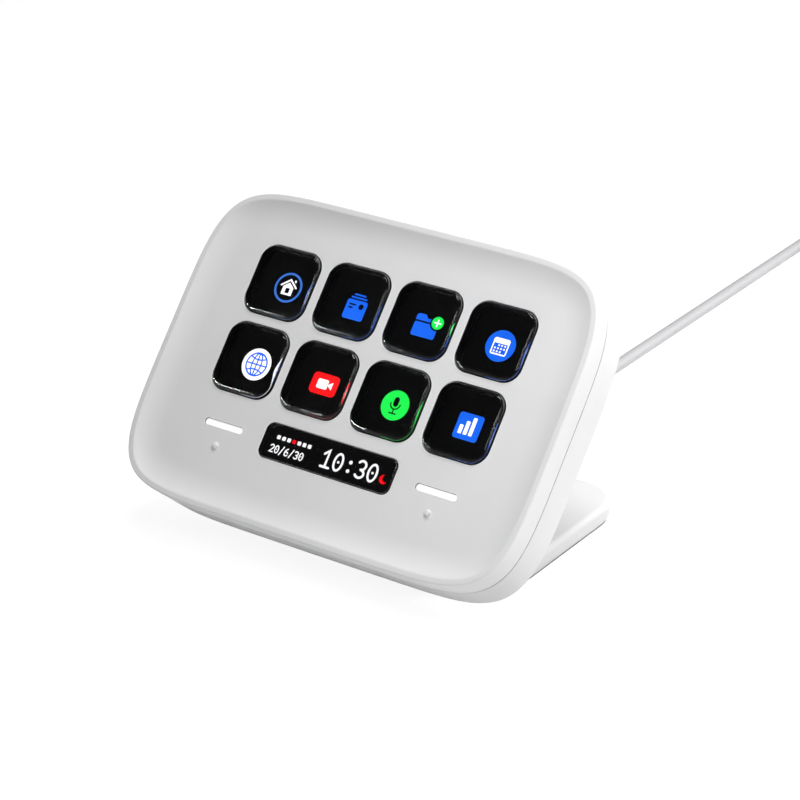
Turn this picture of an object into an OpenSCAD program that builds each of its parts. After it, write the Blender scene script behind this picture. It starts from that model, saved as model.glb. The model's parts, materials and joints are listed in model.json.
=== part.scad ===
// Desk key pad: a slab with eight sprung picture keys, an info bar and two touch points.
// It leans back on a fixed, weighted foot and has an attached cord.
// Frame: X right, Y back, Z up, with the origin on the desk under the middle.
// Pieces of the slab are drawn in its own frame: X right, Y up the face, Z out of the face,
// with the origin at the middle of the rim's plane.

/* [Slab] */
// Width of the slab
slab_w = 107.6; // [102:0.1:140]
// Height of the slab along its face
slab_h = 77.6; // [74:0.1:110]
// Thickness of the slab from rim to back
slab_t = 17; // [16.5:0.1:24]
// Squareness of the outline across the width
square_x = 7.7; // [5:0.1:12]
// Squareness of the outline up the height
square_y = 4.7; // [4:0.1:12]
// Depth of the seam between the two shells, behind the rim
seam_depth = 6.4; // [6:0.1:8]
// Wall of both shells
wall = 1.8; // [1.6:0.1:2.4]
// Rounding of the slab's back edge
back_round = 2.5; // [2.1:0.1:4]
// Lean of the slab back from upright
lean = 40; // [25:1:50]
// Gap between the slab's lower edge and the desk
lift = 2.7; // [1:0.1:8]

/* [Dished face] */
// Width of the flat rim
rim_w = 1.3; // [0.8:0.1:2.5]
// Depth of the dish floor below the rim
dish_depth = 1.9; // [1:0.1:3]
// Distance over which the dish blends from rim to floor
dish_blend = 8.4; // [4:0.1:8.6]
// Thickness of the face at the dish floor
face_t = 1.3; // [1:0.1:2]

/* [Keys] */
// Width and height of a key
key_size = 17; // [14:0.1:17.2]
// Corner radius of a key
key_r = 3.9; // [2:0.1:6]
// Distance from key to key
key_pitch = 19.75; // [19.4:0.05:20.5]
// Height of the middle of the keys above the middle of the slab
key_rise = 8; // [6:0.1:10]
// Height of a key's top over the dish floor
key_proud = 1; // [0.6:0.1:1.6]
// Depth of the rounding of a key's top edge
key_edge = 0.9; // [0.3:0.1:1]
// Width of the rounding of a key's top edge
key_shoulder = 1.5; // [0.5:0.1:2]
// Gap between a key and its opening
key_gap = 0.25; // [0.15:0.05:0.5]
// Travel of a key
key_travel = 1; // [0.6:0.1:1.2]
// Overlap of a skirt under the face
skirt_lip = 0.7; // [0.5:0.05:0.9]
// Thickness of a skirt
skirt_t = 0.7; // [0.5:0.05:0.9]

/* [Info bar and touch points] */
// Width of the info bar's opening
info_w = 36.6; // [30:0.1:42]
// Height of the info bar's opening
info_h = 8.7; // [7:0.1:9]
// Corner radius of the info bar
info_r = 2; // [1:0.1:3]
// Drop of the info bar below the middle of the slab
info_drop = 18.5; // [18:0.1:19.5]
// Length of a light bar
bar_w = 11; // [8:0.1:13]
// Height of a light bar
bar_h = 1.6; // [1.2:0.1:2.4]
// Depth of a light bar's front below the dish floor
bar_sink = 0.5; // [0.1:0.05:0.8]
// Distance of the light bars from the middle
bar_x = 29.6; // [28:0.1:32]
// Drop of the raised dots below the middle of the slab
dot_drop = 23.6; // [22.5:0.1:26]
// Diameter of a raised dot
dot_d = 1.5; // [1:0.1:3]
// Height of a raised dot
dot_h = 0.4; // [0.2:0.05:0.8]

/* [Foot] */
// Width of the foot
foot_w = 84.8; // [70:0.1:100]
// Reach of the foot behind the middle of the slab
foot_back = 51.5; // [44:0.1:70]
// Place of the foot's front edge, from the middle of the slab
foot_front = -4; // [-6:0.1:4]
// Thickness of the foot plate
foot_t = 4.85; // [4:0.05:8]
// Corner radius of the foot
foot_r = 9.5; // [5:0.1:14]
// Rounding of the foot's top edge
foot_edge = 0.8; // [0.3:0.1:1.5]
// Thickness of the rubber pad under the foot
pad_t = 0.45; // [0.3:0.05:2]
// Width of the leg
leg_w = 60; // [52:1:70]
// Thickness of the leg
leg_t = 4.5; // [4:0.1:6]
// Height of the leg's top edge above the middle of the slab
leg_top = 6; // [3:0.1:7]

/* [Cord] */
// Diameter of the cord
cord_d = 3.2; // [2.8:0.1:4]
// Height of the cord's hole above the middle of the slab
hole_up = 14; // [13:0.1:18]
// Length of the cord boot outside the back
boot_l = 14; // [10:0.1:20]

/* [Hidden] */
$fn = 48;
steps = 22; // outline points in each quarter
rows = 2;
columns = 4;
clear = 0.05; // gap between pieces that lie on each other
fit = 0.1; // gap round a screw's shank
root = 0.2; // depth to which a post is rooted in its wall

// Rim, seam and tongue
rim_edge = 0.4; // rounding of the rim's outer edge
rim_fall = 0.12; // drop of the rim's inner edge
blend_power = 2.2; // steepness of the blend beside the rim
seam_chamfer = 0.2;
tongue_h = 0.85; // tongue of the rear shell that enters the front shell
tongue_t = 0.7;

// Plan sizes of the keys
opening = key_size + 2 * key_gap;
skirt_size = opening + 2 * skirt_lip;
skirt_ledge = 0.8; // seat of a key block on its skirt
shoulder = min(key_shoulder, key_r - 0.3);
window = key_size - 2 * skirt_ledge;
window_r = key_r - skirt_ledge;
board_window = window + 0.9;
board_window_r = window_r + 0.4;
skirt_gap = 0.1; // gap over a resting skirt, and under a pressed one
key_stop = 0.45; // space left under a pressed key

// Levels in the slab, measured out of the face
dish_z = -dish_depth;
under_z = dish_z - face_t;
key_top_z = dish_z + key_proud;
skirt_z = under_z - skirt_gap;
skirt_low_z = skirt_z - skirt_t;
mat_z = skirt_low_z - key_travel - skirt_gap;
mat_t = 0.4;
board_z = mat_z - mat_t;
board_t = 0.8;
board_low_z = board_z - board_t;
panel_z = board_low_z - clear;
panel_t = 1.8;
tray_z = panel_z - panel_t - clear;
tray_t = 0.5;
tray_low_z = tray_z - tray_t;
ribbon_z = tray_low_z - 0.9; // ribbons behind the tray
main_t = 1.2;
main_z = tray_low_z - 1.9;
main_low_z = main_z - main_t;
inner_back_z = -slab_t + wall;
key_low_z = panel_z + key_stop + key_travel;
lip_t = 0.7; // flanges of the lens and the light bars
lip_z = under_z - clear; // their seat under the face
dot_edge = 0.15; // rounding of a raised dot's top edge
lens_gap = 0.15;
lens_proud = 0.35; // height of the lens over the dish floor
touch_z = -5;
touch_t = 0.8;
lamp_h = 0.9;

// Plan sizes and places of the hidden pieces
board_w = columns * key_pitch + 10;
board_h = rows * key_pitch + 1.7;
panel_w = columns * key_pitch - 0.2;
panel_h = rows * key_pitch + 1.1;
mat_w = panel_w + 0.2;
mat_h = panel_h;
post_x = columns * key_pitch / 2 + 2.5;
post_y = 15.5; // up and down from the middle of the keys
post_d = 4.4;
boss_x = slab_w / 2 - 9;
boss_y = slab_h / 2 - 9.2;
boss_d = 5.2;
boss_split_z = -9;
screw_d = 2;
head_d = 3.8;
head_h = 1.3;
head_sink = 1.2; // depth of the shell screws' heads in the back
small_head_h = 1;
main_w = 62;
main_h = 34;
main_y = 3;
main_hole_x = main_w / 2 - 3;
main_hole_y = main_h / 2 - 3;
socket_x = 14; // ribbon sockets of the main board, left and right of the middle
ribbon_t = 0.16;
touch_w = 15;
touch_h = 11.6;
touch_y = -22;
touch_post_d = 1.8;
touch_post_in = 1.2; // place of the posts in from the touch boards' edges

// Stand
stand_hole_x = 21;
stand_hole_y = [-3, -21];
stand_screw_d = 2.6;
stand_boss_d = 5.4;
stand_head_d = 5;
stand_head_h = 1.6;
stand_sink = 2; // depth of the screws' heads in the leg
leg_r = 8; // rounding of the leg's upper corners
bend_r = 5; // outer bend between leg and foot
inner_r = 4; // inner bend between leg and foot
weight_size = [64, 34, 2];
weight_back = 2; // place of the weight behind the middle of the foot

// Places of the slab and the foot
half_h = slab_h / 2;
slab_z = lift + back_round + (half_h - back_round) * cos(lean)
       + (slab_t - back_round) * sin(lean);
front_reach = (half_h - rim_edge) * sin(lean) - rim_edge * cos(lean) + rim_edge;
mid_y = (foot_back - front_reach) / 2;
foot_top = pad_t + foot_t;
foot_mid = (foot_back + foot_front) / 2;
foot_l = foot_back - foot_front;
leg_z = slab_t + clear;

// Stiffening ribs inside the back
rib_x = 38;
rib_t = 1.2;
rib_l = 44;
rib_h = 1.2;

// Strain relief of the cord
boot_neck_d = 6.2;
hole_pad_d = 12; // thicker ring inside the back, round the cord's hole
hole_pad_t = 0.6;
boot_seat = wall + hole_pad_t + clear; // inner flange's seat, measured in from the back
boot_flange_r = 4.4;
boot_flange_t = 1.2;

// Route of the cord from the boot to the coil, and from the coil to the plug
cord_route = [[0, 19.39, 33.13], [0, 24, 29.26], [0, 28.6, 25.4], [0, 33, 21.4],
  [0, 37.1, 17], [0, 41, 12.5], [0, 45.4, 8.4], [0, 50.6, 5], [0, 56.6, 2.8],
  [0, 63.2, 1.9], [0, 70, 1.6], [0, 79, 1.6], [0, 88, 1.6], [0, 97, 1.6],
  [0, 106, 1.6], [0, 115, 1.6], [0, 124, 1.6], [0, 133, 1.6], [0, 142, 1.6],
  [0, 151, 1.6], [0, 160, 1.6], [0, 169, 1.6], [0, 178, 1.6], [0, 187, 1.6],
  [0, 196, 1.6], [0, 205, 1.6], [0, 214, 1.6], [0, 223, 1.6], [0, 231, 1.6]];
tail_route = [[55.2, 238, 4.6], [55, 232, 3.8], [54.6, 226, 2.8], [53.8, 220, 2],
  [52.6, 214, 1.6], [50.9, 208, 1.7], [48.8, 202, 2.2], [46.4, 196, 2.8]];
coil_at = [27.6, 240];
coil_in = 9.2;
coil_out = 29.2;
coil_h = 6.4;
plug_turn = 22; // turn of the plug from straight forward
plug_size = [10, 17, 5.6];
plug_shell_size = [8.3, 6.7, 2.5];

KEYS = [for (i = [1 : rows * columns]) str("key_", i)];
SKIRTS = [for (i = [1 : rows * columns]) str("skirt_", i)];

// ---- Functions ----

// Slab outline with softly bowed sides, moved inward by inset
function outline(inset) = [
  for (i = [0 : 4 * steps - 1])
    let (a = 90 * (i + 0.5) / steps,
         x = sign(cos(a)) * pow(abs(cos(a)), 2 / square_x),
         y = sign(sin(a)) * pow(abs(sin(a)), 2 / square_y),
         gx = square_x * sign(x) * pow(abs(x), square_x - 1) / slab_w,
         gy = square_y * sign(y) * pow(abs(y), square_y - 1) / slab_h,
         g = norm([gx, gy]))
    [x * slab_w / 2 - inset * gx / g, y * half_h - inset * gy / g]];

// Rounded rectangle as points, moved inward by inset, with n steps in each corner
function corner_points(w, h, r, inset, n) = [
  for (q = [0 : 3], k = [0 : n])
    let (a = 90 * q + 90 * k / n,
         sx = (q == 0 || q == 3) ? 1 : -1,
         sy = q < 2 ? 1 : -1,
         c = max(r - inset, 0.05))
    [sx * (w / 2 - inset - c) + c * cos(a), sy * (h / 2 - inset - c) + c * sin(a)]];

function at_height(loop, z) = [for (p = loop) [p[0], p[1], z]];

// Points of an arc from angle a to angle b
function arc(c, r, a, b, n) = [
  for (k = [0 : n]) let (t = a + (b - a) * k / n) [c[0] + r * cos(t), c[1] + r * sin(t)]];

// A point of the slab's side view, v up the face and d behind the rim, in the stand's frame
function side(v, d) = [v * sin(lean) + d * cos(lean), slab_z + v * cos(lean) - d * sin(lean)];

// Place of key i in the slab's frame, counted from the top left
function key_place(i) = [
  ((i - 1) % columns - (columns - 1) / 2) * key_pitch,
  key_rise + ((rows - 1) / 2 - floor((i - 1) / columns)) * key_pitch];

function unit(v) = v / norm(v);

// ---- Shared shapes ----

module on_slab() translate([0, -mid_y, slab_z]) rotate([90 - lean, 0, 0]) children();

module at_corners(x, y) for (sx = [-1, 1], sy = [-1, 1]) translate([sx * x, sy * y]) children();

// Flat rounded rectangle with true round corners
module rounded(w, h, r) {
  square([w - 2 * r, h], center = true);
  square([w, h - 2 * r], center = true);
  at_corners(w / 2 - r, h / 2 - r) circle(r);
}

// Straight plate of a flat shape between two levels
module between(low, high) translate([0, 0, low]) linear_extrude(high - low) children();

// Closed band: a profile of [inset, height] points carried round the slab's outline
module band(profile) {
  n = 4 * steps;
  m = len(profile);
  polyhedron(
    [for (p = profile, q = outline(p[0])) [q[0], q[1], p[1]]],
    [for (j = [0 : m - 1], i = [0 : n - 1], half = [0, 1])
      let (k = (i + 1) % n, l = (j + 1) % m)
      half == 0 ? [j * n + i, j * n + k, l * n + k] : [j * n + i, l * n + k, l * n + i]]);
}

// Solid through a stack of loops, closed flat at both ends
module stack(loops) {
  n = len(loops[0]);
  m = len(loops);
  polyhedron(
    [for (l = loops, p = l) p],
    concat(
      [[for (i = [0 : n - 1]) i]],
      [[for (i = [n - 1 : -1 : 0]) (m - 1) * n + i]],
      [for (j = [0 : m - 2], i = [0 : n - 1], half = [0, 1])
        let (k = (i + 1) % n)
        half == 0 ? [j * n + i, (j + 1) * n + k, j * n + k]
                  : [j * n + i, (j + 1) * n + i, (j + 1) * n + k]]));
}

// Rounded plate between two levels, its top edge rounded over the width e_in and the depth e
module soft_plate(w, h, r, low, high, e_in, e, n = 6, e_steps = 4)
  stack(concat(
    [at_height(corner_points(w, h, r, 0, n), low)],
    [for (k = [0 : e_steps])
      let (a = 90 * k / e_steps)
      at_height(corner_points(w, h, r, e_in * (1 - cos(a)), n), high - e + e * sin(a))]));

// Round cord swept through its route
module tube(route, d, sides = 8) {
  m = len(route);
  dirs = [for (i = [0 : m - 1]) unit(route[min(i + 1, m - 1)] - route[max(i - 1, 0)])];
  stack([for (i = [0 : m - 1])
    let (across = unit(cross(dirs[i], [0.02, 0.01, 1])), up = cross(dirs[i], across))
    [for (k = [0 : sides - 1])
      route[i] + d / 2 * (cos(360 * k / sides) * across + sin(360 * k / sides) * up)]]);
}

// Pan head screw whose head rests on z = 0 and whose shank points up
module screw(d, l, hd, hh) {
  cylinder(h = l, d = d);
  difference() {
    translate([0, 0, -hh]) cylinder(h = hh, d1 = hd * 0.82, d2 = hd);
    for (a = [0, 90])
      rotate([0, 0, a]) translate([0, 0, -hh]) cube([hd * 0.55, hd * 0.16, hh], center = true);
  }
}

// Openings of the face, each grown by g
module face_openings(g) {
  for (i = [1 : rows * columns])
    translate(key_place(i)) rounded(opening + 2 * g, opening + 2 * g, key_r + key_gap + g);
  translate([0, -info_drop]) rounded(info_w + 2 * g, info_h + 2 * g, info_r + g);
  for (s = [-1, 1])
    translate([s * bar_x, -info_drop]) rounded(bar_w + 2 * g, bar_h + 2 * g, bar_h / 2 - 0.05 + g);
}

module key_posts_at() translate([0, key_rise]) at_corners(post_x, post_y) children();

module main_holes_at() translate([0, main_y]) at_corners(main_hole_x, main_hole_y) children();

module touch_posts_at()
  for (s = [-1, 1], t = [-1, 1])
    translate([s * bar_x + t * (touch_w / 2 - touch_post_in), touch_y - touch_h / 2 + touch_post_in])
      children();

module stand_holes_at()
  for (y = stand_hole_y, s = [-1, 1]) translate([s * stand_hole_x, y]) children();

// Boss that rises inside the back to a level
module back_boss(top, d) translate([0, 0, -slab_t + 0.5]) cylinder(h = top + slab_t - 0.5, d = d);

// ---- Shells ----

module front_shell() color([0.93, 0.93, 0.93]) on_slab() {
  rim_end = rim_w + 0.3;
  blend = [for (k = [7 : -1 : 0]) let (s = k / 7)
    [rim_end + s * (dish_blend - rim_end),
     -rim_fall + (dish_z + rim_fall) * (1 - pow(1 - s, blend_power))]];
  band(concat(
    [[wall - tongue_t - clear, -seam_depth],
     [wall - tongue_t - clear, -seam_depth + tongue_h + clear],
     [wall, -seam_depth + tongue_h + clear], [wall, under_z], [dish_blend, under_z]],
    blend,
    [[rim_w, 0], [rim_edge, 0], [rim_edge * 0.3, -rim_edge * 0.3], [0, -rim_edge],
     [0, -seam_depth + seam_chamfer], [seam_chamfer, -seam_depth]]));
  between(under_z, dish_z) difference() {
    polygon(outline(dish_blend - 2));
    face_openings(0);
  }
  for (s = [-1, 1]) translate([s * bar_x, -dot_drop, dish_z]) raised_dot();
  key_posts_at() post(board_z, post_d);
  at_corners(boss_x, boss_y) post(boss_split_z, boss_d);
  touch_posts_at() translate([0, 0, touch_z])
    cylinder(h = under_z - touch_z + root, d = touch_post_d);
}

// Raised dot with straight sides and a rounded top edge
module raised_dot() rotate_extrude() polygon(concat(
  [[0, -root], [dot_d / 2, -root]],
  [for (a = [0 : 30 : 90])
    [dot_d / 2 - dot_edge * (1 - cos(a)), dot_h - dot_edge * (1 - sin(a))]],
  [[0, dot_h]]));

// Round post under the face, with a screw bore that stops short of the face
module post(low, d) difference() {
  translate([0, 0, low]) cylinder(h = under_z + root - low, d = d);
  translate([0, 0, low - 1]) cylinder(h = under_z - 0.4 - low + 1, d = screw_d + 2 * fit);
}

module rear_shell() color([0.92, 0.92, 0.92]) on_slab() {
  difference() {
    union() {
      band(concat(
        [[wall - tongue_t, -seam_depth + tongue_h], [wall - tongue_t, -seam_depth],
         [seam_chamfer, -seam_depth], [0, -seam_depth - seam_chamfer]],
        [for (k = [0 : 4]) let (a = 90 * k / 4)
          [back_round * (1 - cos(a)), -slab_t + back_round - back_round * sin(a)]],
        [[dish_blend, -slab_t], [dish_blend, inner_back_z], [wall, inner_back_z],
         [wall, -seam_depth + tongue_h]]));
      between(-slab_t, inner_back_z) polygon(outline(dish_blend - 2));
      at_corners(boss_x, boss_y) back_boss(boss_split_z - clear, boss_d + 0.8);
      main_holes_at() back_boss(main_low_z, post_d);
      stand_holes_at() back_boss(main_low_z - 0.4, stand_boss_d);
      translate([0, hole_up]) back_boss(inner_back_z + hole_pad_t, hole_pad_d);
      for (s = [-1, 1]) translate([s * rib_x - rib_t / 2, -rib_l / 2, inner_back_z - root])
        cube([rib_t, rib_l, rib_h + root]);
    }
    at_corners(boss_x, boss_y) {
      translate([0, 0, -slab_t - 1]) cylinder(h = slab_t, d = screw_d + 2 * fit);
      translate([0, 0, -slab_t - 1]) cylinder(h = 1 + head_sink + head_h, d = head_d + 4 * fit);
    }
    main_holes_at() translate([0, 0, inner_back_z + 0.4])
      cylinder(h = slab_t, d = screw_d + 2 * fit);
    stand_holes_at() translate([0, 0, -slab_t - 1])
      cylinder(h = slab_t, d = stand_screw_d + 2 * fit);
    translate([0, hole_up, -slab_t - 1]) cylinder(h = 6, d = boot_neck_d + 2 * clear);
  }
}

// ---- Stand ----

module leg_profile() {
  bend_y = (leg_z + bend_r + (pad_t + bend_r - slab_z) * sin(lean)) / cos(lean);
  inner_y = (leg_z + leg_t + inner_r + (foot_top + inner_r - slab_z) * sin(lean)) / cos(lean);
  top_r = 2;
  polygon(concat(
    [[inner_y + 3, pad_t]],
    arc([bend_y, pad_t + bend_r], bend_r, 270, 180 - lean, 10),
    [side(leg_top, leg_z)],
    arc(side(leg_top - top_r, leg_z + leg_t - top_r), top_r, 90 - lean, -lean, 5),
    arc([inner_y, foot_top + inner_r], inner_r, 180 - lean, 270, 8),
    [[inner_y + 3, foot_top]]));
}

module stand() color([0.92, 0.92, 0.92]) difference() {
  translate([0, -mid_y]) union() {
    translate([0, foot_mid]) stack([
      for (p = [[0.3, pad_t], [0, pad_t + 0.3], [0, foot_top - foot_edge],
                [foot_edge * 0.29, foot_top - foot_edge * 0.29], [foot_edge, foot_top]])
        at_height(corner_points(foot_w, foot_l, foot_r, p[0], 8), p[1])]);
    intersection() {
      translate([-leg_w / 2, 0]) rotate([90, 0, 90]) linear_extrude(leg_w) leg_profile();
      translate([0, mid_y]) on_slab() between(-leg_z - leg_t - 20, -leg_z + 10)
        translate([0, leg_top - 30]) rounded(leg_w, 60, leg_r);
    }
  }
  weight_pocket(clear);
  on_slab() stand_holes_at() translate([0, 0, -leg_z - leg_t - 1]) {
    cylinder(h = leg_t + 2, d = stand_screw_d + 2 * fit);
    cylinder(h = 1 + stand_sink, d = stand_head_d + 6 * fit);
  }
}

// Block of the weight, or with a gap g its pocket, which is open below
module weight_pocket(g) translate([0, foot_mid + weight_back - mid_y])
  translate([-weight_size[0] / 2 - g, -weight_size[1] / 2 - g, pad_t - (g > 0 ? 1 : 0)])
    cube([weight_size[0] + 2 * g, weight_size[1] + 2 * g, weight_size[2] + (g > 0 ? 1 + g : 0)]);

module foot_weight() color([0.6, 0.62, 0.64]) weight_pocket(0);

module foot_pad() color([0.16, 0.16, 0.17])
  translate([0, foot_mid - mid_y]) between(0, pad_t)
    rounded(foot_w - 0.5, foot_l - 0.5, foot_r - 0.25);

// ---- Screws ----

module shell_screws() color([0.3, 0.3, 0.32]) on_slab() at_corners(boss_x, boss_y)
  translate([0, 0, -slab_t + head_sink + head_h]) screw(screw_d, 9, head_d, head_h);

module stand_screws() color([0.3, 0.3, 0.32]) on_slab() stand_holes_at()
  translate([0, 0, -leg_z - leg_t + stand_sink])
    screw(stand_screw_d, leg_t - stand_sink + wall + 2, stand_head_d, stand_head_h);

module tray_screws() color([0.62, 0.63, 0.65]) on_slab()
  key_posts_at() translate([0, 0, tray_low_z])
    screw(screw_d, under_z - 1 - tray_low_z, head_d, small_head_h);

module board_screws() color([0.62, 0.63, 0.65]) on_slab()
  main_holes_at() translate([0, 0, main_z]) mirror([0, 0, 1])
    screw(screw_d, main_z - inner_back_z - 0.8, head_d, small_head_h);

// ---- Keys ----

// Clear key block: soft-edged top in its opening and a plug in the skirt's window
module key_block(i) color([0.05, 0.05, 0.06]) on_slab() translate(key_place(i)) {
  soft_plate(key_size, key_size, key_r, skirt_z, key_top_z, shoulder, key_edge, 6, 5);
  between(key_low_z, skirt_z + 0.3) rounded(window - 2 * fit, window - 2 * fit, window_r - fit);
}

// Black skirt that carries the block and keeps it behind the face
module skirt(i) color([0.06, 0.06, 0.07]) on_slab() translate(key_place(i))
  between(skirt_low_z, skirt_z) difference() {
    rounded(skirt_size, skirt_size, key_r + key_gap + skirt_lip);
    rounded(window, window, window_r);
  }

// ---- Key stack ----

module key_mat() color([0.12, 0.12, 0.13]) on_slab() {
  between(board_z, mat_z) difference() {
    translate([0, key_rise]) rounded(mat_w, mat_h, 2);
    for (i = [1 : rows * columns]) translate(key_place(i))
      rounded(board_window, board_window, board_window_r);
  }
  dome_at = (skirt_size + window) / 4 + 0.2;
  for (i = [1 : rows * columns], p = [[-dome_at, 0], [dome_at, 0], [0, -dome_at], [0, dome_at]])
    translate([key_place(i)[0] + p[0], key_place(i)[1] + p[1], mat_z - root])
      cylinder(h = skirt_low_z - clear - mat_z + root, d1 = 1.5, d2 = 1.1, $fn = 24);
}

// Round notches that leave room for the shell bosses
module boss_notches() at_corners(boss_x, boss_y) circle(d = boss_d + 1.6);

module key_board() color([0.1, 0.16, 0.13]) on_slab() between(board_low_z, board_z) difference() {
  translate([0, key_rise]) rounded(board_w, board_h, 1.5);
  for (i = [1 : rows * columns]) translate(key_place(i))
    rounded(board_window, board_window, board_window_r);
  key_posts_at() circle(d = screw_d + 2 * fit);
  boss_notches();
}

module display_panel() color([0.03, 0.03, 0.04]) on_slab()
  between(panel_z - panel_t, panel_z) translate([0, key_rise]) rounded(panel_w, panel_h, 1);

module display_tray() color([0.7, 0.71, 0.73]) on_slab() {
  between(tray_low_z, tray_z) difference() {
    translate([0, key_rise]) rounded(board_w, board_h, 1.5);
    key_posts_at() circle(d = screw_d + 2 * fit);
    boss_notches();
    for (x = [-24, 0, 24]) translate([x, key_rise]) rounded(14, 24, 3);
  }
  key_posts_at() difference() {
    translate([0, 0, tray_z - 0.1]) cylinder(h = board_low_z - tray_z + 0.1, d = post_d);
    translate([0, 0, tray_low_z - 1]) cylinder(h = 5, d = screw_d + 2 * fit);
  }
}

// Flat ribbon bent in side view, w wide across X
module ribbon(points, x, w) translate([x - w / 2, 0, 0])
  rotate([90, 0, 90]) linear_extrude(w) for (i = [0 : len(points) - 2])
    ribbon_run(points[i], points[i + 1]);

// One straight run of a ribbon with a round end
module ribbon_run(a, b) {
  d = unit(b - a);
  s = [-d[1], d[0]] * ribbon_t / 2;
  polygon([a - s, b - s, b + s, a + s]);
  translate(b) circle(d = ribbon_t, $fn = 16);
}

module display_flex() color([0.75, 0.45, 0.12]) on_slab() {
  low = key_rise - panel_h / 2;
  ribbon([[low - clear, panel_z - 1.2], [low - 1.4, panel_z - 1.2], [low - 2.2, panel_z - 2],
    [low - 2.2, tray_low_z - 0.4], [low - 1.4, ribbon_z], [low + 4.5, ribbon_z]],
    -socket_x, 16);
}

// ---- Info bar, light bars and touch boards ----

module info_lens() color([0.05, 0.05, 0.06]) on_slab() translate([0, -info_drop]) {
  soft_plate(info_w - 2 * lens_gap, info_h - 2 * lens_gap, info_r - lens_gap,
    lip_z, dish_z + lens_proud, lens_proud, lens_proud, 5, 3);
  between(lip_z - lip_t, lip_z) rounded(info_w + 1.6, info_h + 1.2, info_r + 0.5);
}

module info_display() color([0.03, 0.03, 0.04]) on_slab()
  between(lip_z - lip_t - 1.5, lip_z - lip_t)
    translate([0, -info_drop - 0.3]) rounded(info_w + 2.4, info_h + 2, 0.8);

module info_flex() color([0.75, 0.45, 0.12]) on_slab() {
  z = lip_z - lip_t - 1.65;
  ribbon([[-info_drop - 1, z], [-info_drop - 1, z - 2.2], [-info_drop, z - 3],
    [-info_drop + 2, ribbon_z], [-info_drop + 9.5, ribbon_z]], socket_x, 8);
}

module light_bar(s) color([1, 1, 1]) on_slab() translate([s * bar_x, -info_drop]) {
  between(lip_z, dish_z - bar_sink) rounded(bar_w - 2 * fit, bar_h - 2 * fit, bar_h / 2 - 0.15);
  between(lip_z - lip_t, lip_z) rounded(bar_w + 1.4, bar_h + 1.4, 1.2);
}

module touch_board(s) color([0.1, 0.16, 0.13]) on_slab()
  between(touch_z - touch_t, touch_z) translate([s * bar_x, touch_y]) rounded(touch_w, touch_h, 1);

module side_leds() color([0.95, 0.9, 0.6]) on_slab()
  for (s = [-1, 1], x = [-3, 3]) translate([s * bar_x + x, -info_drop, touch_z + lamp_h / 2])
    cube([2.4, 1.4, lamp_h], center = true);

// ---- Main board ----

module main_board() color([0.1, 0.16, 0.13]) on_slab() between(main_low_z, main_z) difference() {
  translate([0, main_y]) rounded(main_w, main_h, 2);
  main_holes_at() circle(d = screw_d + 2 * fit);
}

module board_chips() color([0.08, 0.08, 0.09]) on_slab() {
  // Each is its place on the board, its size and its height
  chips = [[-14, 7, 9, 9, 1.1], [6, -12, 6, 5, 0.9], [-12, -9, 5, 6, 0.9], [11, 2, 4, 4, 0.8],
    [-24, 4, 3, 5, 0.9], [0, -8, 3, 3, 0.7], [14, 12, 3, 3, 0.7]];
  for (c = chips) translate([c[0] - c[2] / 2, main_y + c[1] - c[3] / 2, main_low_z - c[4]])
    cube([c[2], c[3], c[4]]);
}

module board_sockets() color([0.9, 0.88, 0.82]) on_slab() {
  translate([-socket_x - 9, -8.2, main_z]) cube([18, 3.4, 1.1]);
  translate([socket_x - 5, -10.6, main_z]) cube([10, 3.4, 1.1]);
  translate([-5, hole_up - hole_pad_d / 2 - 5, main_low_z - 2]) cube([10, 5, 2]);
}

// ---- Cord ----

// Boot with an inner flange, a neck in the cord's hole, a collar and four flexing ribs
module cord_boot() color([0.86, 0.86, 0.86]) on_slab() translate([0, hole_up, -slab_t])
  rotate([180, 0, 0]) rotate_extrude() polygon(concat(
    [[0, -boot_seat - boot_flange_t], [boot_flange_r, -boot_seat - boot_flange_t],
     [boot_flange_r, -boot_seat], [boot_neck_d / 2, -boot_seat], [boot_neck_d / 2, clear],
     [4, clear], [4, 0.9], [3.7, 1.2]],
    [for (k = [0 : 4], e = [[0, 0.25], [0, 1.35], [-0.45, 1.6], [-0.45, 2.1]])
      [3.3 - 0.22 * (k + e[1] / 2.4) + e[0], 1.2 + k * (boot_l - 1.2) / 5.6 + e[1]]],
    [[2.1, boot_l - 0.5], [1.8, boot_l], [0, boot_l]]));

module cord() color([0.82, 0.82, 0.83]) tube(cord_route, cord_d);

module cord_coil() color([0.82, 0.82, 0.83]) translate([coil_at[0], coil_at[1]])
  rotate_extrude() translate([(coil_in + coil_out) / 2, coil_h / 2])
    rounded(coil_out - coil_in, coil_h, 1.4);

module cord_tail() color([0.82, 0.82, 0.83]) tube(tail_route, cord_d);

module at_plug() translate(tail_route[len(tail_route) - 1]) rotate([0, 0, 180 - plug_turn]) children();

module plug_grip() color([0.85, 0.85, 0.85]) at_plug() {
  rotate([-90, 0, 0]) cylinder(h = 4, d1 = 3.8, d2 = 5);
  translate([0, 3.8 + plug_size[1] / 2, -plug_size[2] / 2])
    linear_extrude(plug_size[2]) rounded(plug_size[0], plug_size[1], 1.6);
}

module plug_shell() color([0.75, 0.76, 0.78]) at_plug()
  translate([0, 3.8 + plug_size[1], 0]) rotate([-90, 0, 0])
    linear_extrude(plug_shell_size[1]) rounded(plug_shell_size[0], plug_shell_size[2], 1.2);

// ---- Nodes ----

front_shell();
rear_shell();
stand();
foot_weight();
foot_pad();
shell_screws();
stand_screws();
tray_screws();
board_screws();
key_mat();
key_board();
display_panel();
display_tray();
display_flex();
info_lens();
info_display();
info_flex();
light_bar(-1);  // light_bar_left
light_bar(1);  // light_bar_right
touch_board(-1);  // touch_board_left
touch_board(1);  // touch_board_right
side_leds();
main_board();
board_chips();
board_sockets();
cord_boot();
cord();
cord_coil();
cord_tail();
plug_grip();
plug_shell();
for (i = [1 : rows * columns]) {
  key_block(i);
  skirt(i);
}
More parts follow.
